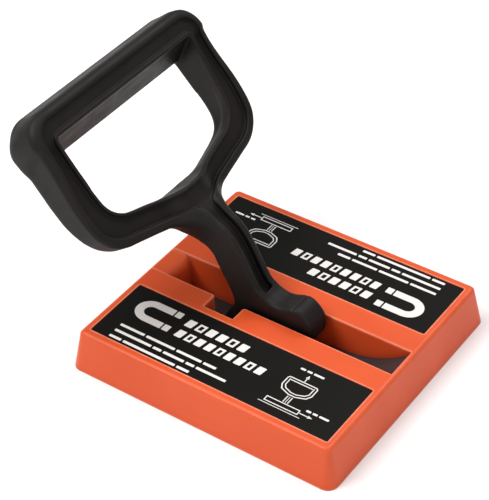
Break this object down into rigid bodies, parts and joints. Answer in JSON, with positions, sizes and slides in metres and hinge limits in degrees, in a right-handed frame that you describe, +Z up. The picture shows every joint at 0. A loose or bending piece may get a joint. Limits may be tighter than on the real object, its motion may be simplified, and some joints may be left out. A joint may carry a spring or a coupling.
{
  "type": "hand lifting magnet",
  "caption": "Flat hand-held lifting magnet in an orange moulded housing, with a black D-grip lever that pivots in a slot and levers the magnet off the sheet with its heel.",
  "frame": {"origin": "centre of the magnet face, on the underside of the base", "axes": "+X along the lever slot, away from the grip; +Y across the base; +Z up out of the magnet face"},
  "size_m": [0.1681, 0.13, 0.1223],
  "materials": {
    "housing_orange": "satin moulded orange plastic",
    "plate_black": "fine-textured black moulded plastic",
    "label_film": "black polyester film with plain printed bars and a lifting pictogram",
    "magnet_nickel": "nickel-plated rare-earth magnet",
    "pole_steel": "ground steel, lengthwise grain",
    "zinc_steel": "zinc plated",
    "block_aluminium": "milled",
    "pin_steel": "ground",
    "bush_bronze": "sintered bronze",
    "washer_nylon": "natural nylon",
    "lever_black": "satin glass-filled black nylon",
    "heel_black_steel": "black oxide"
  },
  "bodies": {
    "base": {"bottom_plate": "plate_black", "housing_shell": "housing_orange", "label_front": "label_film", "label_rear": "label_film", "magnets_inner_front": "magnet_nickel", "magnets_inner_rear": "magnet_nickel", "magnets_outer_front": "magnet_nickel", "magnets_outer_rear": "magnet_nickel", "pack_tie_rods_front": "zinc_steel", "pack_tie_rods_rear": "zinc_steel", "pivot_block_front": "block_aluminium", "pivot_block_rear": "block_aluminium", "pivot_block_screws": "zinc_steel", "pivot_pin": "pin_steel", "plate_screws": "zinc_steel", "pole_bar_inner_front": "pole_steel", "pole_bar_inner_rear": "pole_steel", "pole_bar_middle_front": "pole_steel", "pole_bar_middle_rear": "pole_steel", "pole_bar_outer_front": "pole_steel", "pole_bar_outer_rear": "pole_steel", "thrust_washer_front": "washer_nylon", "thrust_washer_rear": "washer_nylon"},
    "lever": {"handle_lever": "lever_black", "lever_bush": "bush_bronze", "heel_bar": "heel_black_steel", "heel_bar_pin": "pin_steel"}
  },
  "joints": [
    {"name": "lever_pivot", "type": "hinge", "parent": "base", "child": "lever", "pos_m": [0.0077, 0, 0.0112], "axis": [0, 1, 0], "range_deg": [-22, 55]}
  ]
}
